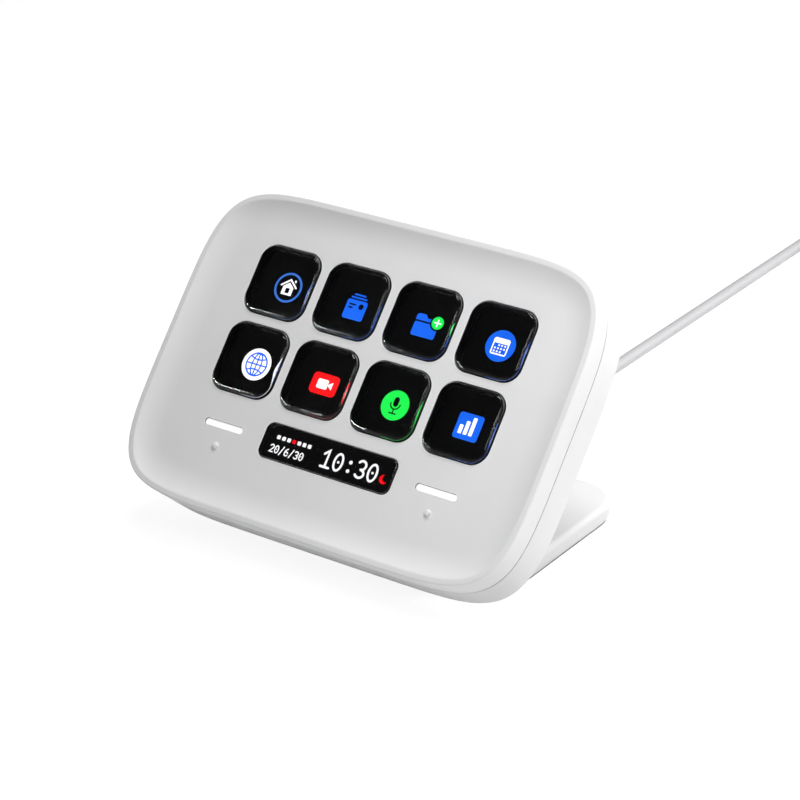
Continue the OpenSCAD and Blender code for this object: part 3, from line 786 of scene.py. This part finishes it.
def add_mat():
    """Flat mat with a window behind each key."""
    skin = Skin()
    levels = (MAT_LOW, MAT_TOP)
    sheet = ((0, KEY_RISE), MAT_W, MAT_H, MAT_R)
    low, top = skin.walls([rounded_loop(*sheet, z) for z in levels])
    low_windows, top_windows = [], []
    for i in range(1, 9):
        window = (key_place(i), MAT_WINDOW, MAT_WINDOW, MAT_WINDOW_R)
        window_low, window_top = skin.walls([rounded_loop(*window, z) for z in levels])
        low_windows.append(window_low)
        top_windows.append(window_top)
    skin.cap(low, low_windows)
    skin.cap(top, top_windows)
    place(skin.finish("key_mat_sheet", ("silicone",)), "body", "silicone", "key_mat")


def add_domes(i):
    """Four domes that carry a key."""
    skin = Skin()
    x, v = key_place(i)
    for dx, dv in ((DOME_OUT, 0), (-DOME_OUT, 0), (0, DOME_OUT), (0, -DOME_OUT)):
        at = (x + dx, v + dv)
        skin.solid([circle_loop(at, r, MAT_TOP + height, count=20) for r, height in DOME])
    piece = place(skin.finish(f"key_domes_{i}", ("silicone",)), "body", "silicone")
    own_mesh(piece)


add_mat()
for number in range(1, 9):
    add_domes(number)

# ---- Info lens ----

LENS_W, LENS_H, LENS_R = 36.3, 8.4, 1.85
LENS_TOP, LENS_SEAT, LENS_LOW = -1.55, -3.25, -3.9
LENS_EDGE = 0.35


def add_lens():
    """Clear cover of the info bar, with a flange behind the face."""
    skin = Skin()
    at = (0, INFO_V)
    lens = (at, LENS_W, LENS_H, LENS_R)
    flange = (at, INFO_W + 1.6, INFO_H + 1.2, INFO_R + 0.5)
    loops = [rounded_loop(*lens, LENS_TOP, -LENS_EDGE - 0.05)]
    for inset, down in reversed(rounding(LENS_EDGE, 5)):
        loops.append(rounded_loop(*lens, LENS_TOP - down, -inset))
    loops.append(rounded_loop(*lens, LENS_SEAT))
    loops.append(rounded_loop(*flange, LENS_SEAT))
    loops.append(rounded_loop(*flange, LENS_LOW))
    skin.solid(loops)
    piece = skin.finish("info_lens_block", ("clear_lens",), sharp=40)
    place(piece, "body", "clear_lens", "info_lens")


add_lens()

# ---- Pictures on the displays ----

BLUE = (0.008, 0.13, 0.84)
RING_BLUE = (0.04, 0.16, 0.6)
GREEN = (0.012, 0.86, 0.08)
RED = (1.0, 0.006, 0.008)
PALE = (1.0, 1.0, 1.0)
glows = {
    "blue": glowing("glow_blue", BLUE),
    "ring_blue": glowing("glow_ring_blue", RING_BLUE),
    "green": glowing("glow_green", GREEN),
    "red": glowing("glow_red", RED),
    "white": glowing("glow_white", PALE, 1.1),
}
PICTURE_RISE = 0.02  # in front of the display panel
PICTURE_T = 0.03
PICTURE_SHIFT = -0.1  # left and down from the middle of a key


def disc(x, y, r, count=48):
    """Round outline."""
    return [p[:2] for p in circle_loop((x, y), r, 0, count)]


def card(x, y, w, h, r):
    """Outline of a rounded rectangle."""
    return [p[:2] for p in rounded_loop((x, y), w, h, r, 0, steps=5)]


def bow(x, y, rx, ry, start, end, count=16):
    """Points of an arc of an ellipse, from angle start to angle end in degrees."""
    angles = [math.radians(start + (end - start) * k / count) for k in range(count + 1)]
    return [(x + rx * math.cos(a), y + ry * math.sin(a)) for a in angles]


def stroke(line, width, caps=6):
    """Outline of a line of constant width with round ends."""
    half = width / 2
    left, right = [], []
    for i, (x, y) in enumerate(line):
        ax, ay = line[max(i - 1, 0)]
        bx, by = line[min(i + 1, len(line) - 1)]
        if 0 < i < len(line) - 1:
            u = Vector((x - ax, y - ay)).normalized()
            v = Vector((bx - x, by - y)).normalized()
            along = (u + v).normalized()
            reach = half / max(along.dot(u), 0.5)
        else:
            along = Vector((bx - ax, by - ay)).normalized()
            reach = half
        left.append((x - along.y * reach, y + along.x * reach))
        right.append((x + along.y * reach, y - along.x * reach))
    far = cap_points(line[-2], line[-1], half, caps)
    near = cap_points(line[1], line[0], half, caps)
    return left + far + right[::-1] + near


def cap_points(before, end, half, count):
    """Half circle round the end of a line, without its two ends."""
    heading = math.atan2(end[1] - before[1], end[0] - before[0])
    points = []
    for k in range(1, count):
        a = heading + math.pi / 2 - math.pi * k / count
        points.append((end[0] + half * math.cos(a), end[1] + half * math.sin(a)))
    return points


def holds(shape, x, y):
    """Whether a closed outline holds a point."""
    inside = False
    for (ax, ay), (bx, by) in zip(shape, shape[1:] + shape[:1]):
        if (ay > y) != (by > y) and x < ax + (bx - ax) * (y - ay) / (by - ay):
            inside = not inside
    return inside


def paint(name, layers, level, thickness=PICTURE_T):
    """Thin lit picture from layers of outlines, where a later one covers or cuts the earlier.

    Each layer is an outline and the name of its glow, or None where it leaves a dark gap.
    """
    points, edges = [], []
    for shape, _ in layers:
        start = len(points)
        points += [Vector(p) for p in shape]
        edges += [(start + k, start + (k + 1) % len(shape)) for k in range(len(shape))]
    flat, _, faces, *_ = delaunay_2d_cdt(points, edges, [], 0, 1e-5)
    names = sorted({glow for _, glow in layers if glow})
    kept = []
    for face in faces:
        x = sum(flat[k].x for k in face) / len(face)
        y = sum(flat[k].y for k in face) / len(face)
        glow = next((g for shape, g in reversed(layers) if holds(shape, x, y)), None)
        if glow:
            kept.append((face, names.index(glow)))
    data = bpy.data.meshes.new(name)
    mesh = bmesh.new()
    low = [mesh.verts.new((p.x, p.y, level)) for p in flat]
    for face, colour in kept:
        mesh.faces.new([low[k] for k in face]).material_index = colour
    for vert in [v for v in mesh.verts if not v.link_faces]:
        mesh.verts.remove(vert)
    raised = bmesh.ops.extrude_face_region(mesh, geom=mesh.faces[:], use_keep_orig=True)
    top = [v for v in raised["geom"] if isinstance(v, bmesh.types.BMVert)]
    bmesh.ops.translate(mesh, verts=top, vec=(0, 0, thickness))
    bmesh.ops.recalc_face_normals(mesh, faces=mesh.faces)
    mesh.to_mesh(data)
    mesh.free()
    data.transform(SLAB)
    for glow in names:
        data.materials.append(glows[glow])
    return place(add_object(name, data), "body", "display")


def house():
    """House in a ring."""
    walls = [(-1.45, -1.85), (1.45, -1.85), (1.45, 0.4), (0, 1.55), (-1.45, 0.4)]
    roof = [(-2.1, 0.3), (0, 2.0), (2.1, 0.3)]
    layers = [
        (disc(0, 0, 3.75), "ring_blue"),
        (disc(0, 0, 3.2), None),
        (stroke([(1.35, 1.0), (1.35, 1.9)], 0.5), "white"),
        (walls, "white"),
        (stroke(roof, 1.1), None),
        (card(0, -0.75, 1.15, 1.3, 0.05), None),
        (stroke(roof, 0.42), "white"),
    ]
    return moved(layers, 0.15, 0)


def card_stack():
    """Card with a face and two lines, and two more behind it."""
    return [
        (card(0, 2.78, 3.2, 0.38, 0.15), "blue"),
        (card(0, 2.04, 4.4, 0.38, 0.15), "blue"),
        (card(0, -0.92, 5.6, 4.8, 0.6), "blue"),
        (stroke([(-1.9, 0.3), (-0.4, 0.3)], 0.4), None),
        (stroke([(-1.9, -0.5), (-1.0, -0.5)], 0.4), None),
        (disc(1.3, 0.1, 0.68), None),
    ]


def folder():
    """Folder with a plus in a disc."""
    tab = [(-3.5, 0.9), (-3.5, 2.0), (-3.0, 2.5), (-1.2, 2.5), (-0.5, 1.7), (2.3, 1.7), (2.8, 1.2)]
    return [
        (tab + [(2.8, 0.9)], "blue"),
        (card(-0.35, -1.2, 6.3, 3.4, 0.45), "blue"),
        (disc(2.35, 1.2, 1.95), None),
        (disc(2.35, 1.2, 1.55), "green"),
        (stroke([(1.55, 1.2), (3.15, 1.2)], 0.32), "white"),
        (stroke([(2.35, 0.4), (2.35, 2.0)], 0.32), "white"),
    ]


def calendar():
    """Calendar sheet with ten days."""
    layers = [
        (disc(0, 0, 3.75), "blue"),
        (card(0, -0.2, 4.2, 4.0, 0.5), "white"),
        (card(0, -0.65, 3.5, 2.4, 0.15), "blue"),
    ]
    for day in range(1, 11):
        at = (-1.2 + 0.8 * (day % 4), 0.1 - 0.75 * (day // 4))
        layers.append((card(*at, 0.42, 0.42, 0.08), "white"))
    return layers


def globe():
    """Globe with its meridians and parallels."""
    layers = [(disc(0, 0, 3.95), "white"), (disc(0, 0, 3.0), "blue"), (disc(0, 0, 2.6), "white")]
    layers += [
        (stroke([(-2.75, 0), (2.75, 0)], 0.34), "blue"),
        (stroke([(0, -2.75), (0, 2.75)], 0.34), "blue"),
        (stroke(bow(0, 0, 1.25, 2.75, 90, 270), 0.34), "blue"),
        (stroke(bow(0, 0, 1.25, 2.75, -90, 90), 0.34), "blue"),
        (stroke(bow(0, 4.1, 3.6, 2.9, 233, 307), 0.34), "blue"),
        (stroke(bow(0, -4.1, 3.6, 2.9, 53, 127), 0.34), "blue"),
    ]
    return moved(layers, 0.15, 0)


def camcorder():
    """Video camera on a card."""
    lens = [(1.0, -0.1), (2.2, -0.95), (2.2, 0.95), (1.0, 0.1)]
    return [
        (card(0, 0, 7.3, 5.1, 1.1), "red"),
        (card(-0.5, 0, 2.9, 2.3, 0.35), "white"),
        (lens, "white"),
    ]


def microphone():
    """Microphone on its stand."""
    return [
        (disc(0, 0, 3.6), "green"),
        (stroke([(0, 0.35), (0, 1.35)], 1.35, 12), None),
        (stroke(bow(0, 0.35, 1.25, 1.25, 180, 360), 0.34), None),
        (stroke([(0, -0.9), (0, -1.9)], 0.34), None),
        (stroke([(-0.85, -1.95), (0.85, -1.95)], 0.34), None),
    ]


def bar_chart():
    """Three rising bars on a card."""
    return [
        (card(0, 0, 6.4, 6.2, 0.7), "blue"),
        (card(-1.7, -0.85, 0.95, 2.1, 0.15), "white"),
        (card(-0.3, -0.3, 0.95, 3.2, 0.15), "white"),
        (card(1.1, 0.25, 0.95, 4.3, 0.15), "white"),
    ]


def moved(layers, dx, dy):
    """The same layers at another place."""
    return [([(x + dx, y + dy) for x, y in shape], glow) for shape, glow in layers]


PICTURES = [house, card_stack, folder, calendar, globe, camcorder, microphone, bar_chart]
for number, picture in enumerate(PICTURES, 1):
    x, v = key_place(number)
    layers = moved(picture(), x + PICTURE_SHIFT, v + PICTURE_SHIFT)
    paint(f"key_picture_{number}", layers, PANEL + PICTURE_RISE)

# Strokes of plain numerals in a cell 0.6 wide and 1 high; 0 is two rings with a dot
NUMERALS = {
    "1": [[(0.08, 0.72), (0.32, 0.94), (0.32, 0.06)], [(0.06, 0.06), (0.56, 0.06)]],
    "2": [bow(0.3, 0.69, 0.23, 0.25, 160, -20, 14) + [(0.07, 0.06), (0.55, 0.06)]],
    "3": [
        bow(0.28, 0.71, 0.23, 0.23, 150, -90, 14),
        bow(0.28, 0.27, 0.25, 0.21, 90, -150, 14),
    ],
    "6": [bow(0.3, 0.3, 0.23, 0.24, 0, 360, 24), bow(0.56, 0.3, 0.49, 0.64, 180, 105, 10)],
}


def numeral_layers(text, x, v, height, pitch, weight):
    """Layers for a row of numerals, colons and strokes that starts at x, v."""
    layers = []
    for k, mark in enumerate(text):
        left = x + k * pitch
        if mark == ":":
            for up in (0.22, 0.68):
                dot = disc(left + 0.3 * height, v + up * height, 0.8 * weight, 20)
                layers.append((dot, "white"))
            continue
        if mark == "/":
            ends = [(left + 0.1 * height, v - 0.04 * height), (left + 0.5 * height, v + height)]
            layers.append((stroke(ends, weight), "white"))
            continue
        if mark == "0":
            middle = (left + 0.3 * height, v + 0.5 * height)
            half_w, half_h = 0.24 * height + weight / 2, 0.44 * height + weight / 2
            layers.append((bow(*middle, half_w, half_h, 0, 345, 23), "white"))
            layers.append((bow(*middle, half_w - weight, half_h - weight, 0, 345, 23), None))
            layers.append((disc(*middle, 0.55 * weight, 16), "white"))
            continue
        for line in NUMERALS[mark]:
            placed = [(left + px * height, v + pv * height) for px, pv in line]
            layers.append((stroke(placed, weight), "white"))
    return layers


INFO_PICTURE, INFO_PICTURE_T = -3.945, 0.02  # just behind the lens
DAYS_X, DAYS_V = -14.9, -17.1
DAY_PITCH, DAY_SIZE, TODAY = 1.45, 0.95, 3
DATE_AT, CLOCK_AT = (-16.2, -20.9), (-2.0, -20.8)


def info_layers():
    """Seven weekday marks, a date, a clock and a red evening mark."""
    layers = []
    for day in range(7):
        glow = "red" if day == TODAY else "white"
        layers.append((card(DAYS_X + DAY_PITCH * day, DAYS_V, DAY_SIZE, DAY_SIZE, 0.2), glow))
    layers += numeral_layers("20/6/30", *DATE_AT, height=1.95, pitch=1.38, weight=0.3)
    layers += numeral_layers("10:30", *CLOCK_AT, height=4.5, pitch=3.15, weight=0.56)
    layers.append((disc(15.2, -19.2, 1.1, 32), "red"))
    layers.append((disc(15.8, -18.8, 0.95, 32), None))
    return layers


paint("info_picture", info_layers(), INFO_PICTURE, INFO_PICTURE_T)

# ---- Stand ----

FOOT_W, FOOT_R = 86.2, 10.2
FOOT_FRONT, FOOT_BACK = -17.56, 38.34
FOOT_LOW, FOOT_TOP = 0.45, 5.3
FOOT_EDGE = 1.4
LEG_W, LEG_T = 60.0, 4.5
LEG_TOP = 6.0
LEG_CORNER = 8.0  # rounding of the leg's top corners
LEG_FACE = 17.05  # how far the leg's face lies behind the rim
LEG_EDGE = 0.5
LEG_LIP = 2.0  # rounding of the leg's top edge towards the back
LEG_STOPS = [0, 0.15, 0.5, 1, 1.6, 2.4, 3.4, 4.6, 6, 8, 12, 18, 24, 30]  # down from its top
BEND_OUT, BEND_IN = 5.0, 4.0  # radii where the leg bends into the foot


def side(v, depth):
    """Place in the row's side view (y, z) of a point v up the face and depth behind the rim."""
    c, s = math.cos(LEAN), math.sin(LEAN)
    return SLAB_AT[1] + v * s + depth * c, SLAB_AT[2] + v * c - depth * s


def bend_at(depth, level):
    """Side place (y) of a bend's middle that lies at depth behind the rim and at that level."""
    c, s = math.cos(LEAN), math.sin(LEAN)
    return SLAB_AT[1] + (depth + (level - SLAB_AT[2]) * s) / c


def leg_sections():
    """Pairs of points on the leg's face and on its back, from the top to inside the foot."""
    outer_z, inner_z = FOOT_LOW + BEND_OUT, FOOT_TOP + BEND_IN
    outer = (bend_at(LEG_FACE + BEND_OUT, outer_z), outer_z)
    inner = (bend_at(LEG_FACE + LEG_T + BEND_IN, inner_z), inner_z)
    start = math.pi - LEAN
    sections = []
    arc_face = (outer[0] + BEND_OUT * math.cos(start), outer[1] + BEND_OUT * math.sin(start))
    arc_back = (inner[0] + BEND_IN * math.cos(start), inner[1] + BEND_IN * math.sin(start))
    top_face, top_back = side(LEG_TOP, LEG_FACE), side(LEG_TOP, LEG_FACE + LEG_T)
    run = math.dist(top_face, arc_face)
    for d in [stop for stop in LEG_STOPS if stop < run - 1] + [run]:
        share = d / run
        face = tuple(a + (b - a) * share for a, b in zip(top_face, arc_face))
        back = tuple(a + (b - a) * share for a, b in zip(top_back, arc_back))
        sections.append((d, face, back))
    for k in range(1, 13):
        a = start + (1.5 * math.pi - start) * k / 12
        face = (outer[0] + BEND_OUT * math.cos(a), outer[1] + 0.05 + BEND_OUT * math.sin(a))
        back = (inner[0] + BEND_IN * math.cos(a), inner[1] - 0.03 + BEND_IN * math.sin(a))
        sections.append((run + k, face, back))
    return sections


def leg_loop(d, face, back):
    """Closed section of the leg, with soft edges and narrowed in the rounded top corners."""
    half = LEG_W / 2
    if d < LEG_CORNER:
        half -= LEG_CORNER - math.sqrt(LEG_CORNER**2 - (LEG_CORNER - d) ** 2)
    thick = math.dist(face, back)
    rear = thick
    if d < LEG_LIP:
        rear -= LEG_LIP - math.sqrt(LEG_LIP**2 - (LEG_LIP - d) ** 2)
    edge, bevel = LEG_EDGE, LEG_EDGE * 0.3
    across = [(half - edge, 0), (half - bevel, bevel), (half, edge)]
    across += [(half, rear - edge), (half - bevel, rear - bevel), (half - edge, rear)]
    across += [(-x, depth) for x, depth in reversed(across)]
    points = []
    for x, depth in across:
        share = depth / thick
        y = face[0] + (back[0] - face[0]) * share
        z = face[1] + (back[1] - face[1]) * share
        points.append((x, y, z))
    return points


def add_stand():
    """Foot plate and leg, whose lower end lies inside the plate."""
    skin = Skin()
    middle = (0, (FOOT_FRONT + FOOT_BACK) / 2)
    foot = (middle, FOOT_W, FOOT_BACK - FOOT_FRONT, FOOT_R)
    skin.solid([rounded_loop(*foot, z, -inset, 16) for inset, z in foot_profile()])
    skin.solid([leg_loop(*section) for section in leg_sections()])
    piece = skin.finish("stand_skin", ("white_stand",), ROW, sharp=35)
    place(piece, "body", "white_stand", "stand")


def foot_profile():
    """Inset and level up the foot's edge, from under it to its top."""
    profile = [(0.9, FOOT_LOW), (0.7, FOOT_LOW + 0.1), (0.38, FOOT_LOW + 0.6)]
    profile += [(0.15, FOOT_LOW + 1.2), (0.03, FOOT_LOW + 1.9), (0, FOOT_LOW + 2.4)]
    profile.append((0, FOOT_TOP - FOOT_EDGE - 0.1))
    profile += [(inset, FOOT_TOP - down) for inset, down in rounding(FOOT_EDGE, 6)]
    profile.append((FOOT_EDGE + 0.1, FOOT_TOP))
    return profile


add_stand()

# ---- Floor, world and lamps ----

AMBIENT = 0.1  # strength of the grey light
SLAB_MIDDLE = (0, 0, 0.03)


def larger(tree, a, b):
    """Larger of two values of a node graph."""
    node = tree.nodes.new("ShaderNodeMath")
    node.operation = "MAXIMUM"
    tree.links.new(a, node.inputs[0])
    tree.links.new(b, node.inputs[1])
    return node.outputs[0]


def add_floor():
    """Pale floor that is white where it is looked at, apart from the object's shadow."""
    mesh = bmesh.new()
    bmesh.ops.create_grid(mesh, x_segments=1, y_segments=1, size=3)
    data = bpy.data.meshes.new("floor")
    mesh.to_mesh(data)
    mesh.free()
    floor = add_object("floor", data)
    material = bpy.data.materials.new("floor")
    material.use_nodes = True
    tree = material.node_tree
    tree.nodes.clear()
    ray = tree.nodes.new("ShaderNodeLightPath")
    plain = tree.nodes.new("ShaderNodeBsdfDiffuse")
    plain.inputs["Color"].default_value = (0.75, 0.75, 0.75, 1)
    shown = tree.nodes.new("ShaderNodeBsdfDiffuse")
    shown.inputs["Color"].default_value = (0.22, 0.22, 0.22, 1)
    lift = tree.nodes.new("ShaderNodeEmission")
    lift.inputs["Strength"].default_value = 0.9
    both = tree.nodes.new("ShaderNodeAddShader")
    mix = tree.nodes.new("ShaderNodeMixShader")
    out = tree.nodes.new("ShaderNodeOutputMaterial")
    tree.links.new(shown.outputs[0], both.inputs[0])
    tree.links.new(lift.outputs[0], both.inputs[1])
    gloss = larger(tree, ray.outputs["Is Glossy Ray"], ray.outputs["Is Transmission Ray"])
    tree.links.new(larger(tree, ray.outputs["Is Camera Ray"], gloss), mix.inputs[0])
    tree.links.new(plain.outputs[0], mix.inputs[1])
    tree.links.new(both.outputs[0], mix.inputs[2])
    tree.links.new(mix.outputs[0], out.inputs["Surface"])
    data.materials.append(material)


def add_world():
    """White to the camera, bright low down and dark above to gloss, and grey to the rest."""
    world = bpy.data.worlds.new("studio")
    bpy.context.scene.world = world
    world.use_nodes = True
    tree = world.node_tree
    background = tree.nodes["Background"]
    background.inputs["Color"].default_value = (1, 1, 1, 1)
    ray = tree.nodes.new("ShaderNodeLightPath")
    space = tree.nodes.new("ShaderNodeTexCoord")
    split = tree.nodes.new("ShaderNodeSeparateXYZ")
    tree.links.new(space.outputs["Generated"], split.inputs["Vector"])
    ceiling = tree.nodes.new("ShaderNodeMapRange")
    ceiling.interpolation_type = "SMOOTHSTEP"
    ceiling.inputs["From Min"].default_value = 0.02
    ceiling.inputs["From Max"].default_value = 0.3
    ceiling.inputs["To Min"].default_value = 1.0
    ceiling.inputs["To Max"].default_value = 0.03
    tree.links.new(split.outputs["Z"], ceiling.inputs["Value"])
    gloss = larger(tree, ray.outputs["Is Glossy Ray"], ray.outputs["Is Transmission Ray"])
    soft = tree.nodes.new("ShaderNodeMix")
    soft.inputs["A"].default_value = AMBIENT
    tree.links.new(gloss, soft.inputs["Factor"])
    tree.links.new(ceiling.outputs["Result"], soft.inputs["B"])
    seen = tree.nodes.new("ShaderNodeMix")
    seen.inputs["B"].default_value = 1.0
    tree.links.new(ray.outputs["Is Camera Ray"], seen.inputs["Factor"])
    tree.links.new(soft.outputs["Result"], seen.inputs["A"])
    tree.links.new(seen.outputs["Result"], background.inputs["Strength"])


def add_lamp(name, at, size, power):
    """Soft rectangular lamp that faces the slab."""
    lamp = bpy.data.lights.new(name, "AREA")
    lamp.shape = "RECTANGLE"
    lamp.size, lamp.size_y = size
    lamp.energy = power
    piece = add_object(name, lamp)
    piece.location = at
    piece.rotation_euler = (Vector(SLAB_MIDDLE) - Vector(at)).to_track_quat("-Z", "Y").to_euler()
    piece.visible_camera = False
    piece.visible_transmission = False
    return piece


def add_glint():
    """Low strip whose reflection runs along the lower edges of the clear keys alone."""
    glint = add_lamp("glint_lamp", (-0.31, -0.26, 0.06), (0.29, 0.05), 3.6)
    glint.visible_diffuse = False
    keys = bpy.data.collections.new("glinting_keys")
    for i in range(1, 9):
        keys.objects.link(bpy.data.objects[f"key_block_{i}"])
    glint.light_linking.receiver_collection = keys


add_floor()
add_world()
add_lamp("top_lamp", (0, 0.05, 0.55), (0.2, 0.2), 1.52)
add_lamp("back_lamp", (0.35, 0.35, 0.3), (0.4, 0.4), 2.65)
add_lamp("right_lamp", (0.16, -0.1, 0.2), (0.1, 0.1), 0.095)
add_lamp("near_lamp", (0.085, -0.11, 0.175), (0.06, 0.06), 0.08)
add_glint()

bpy.context.scene.view_settings.view_transform = "Standard"
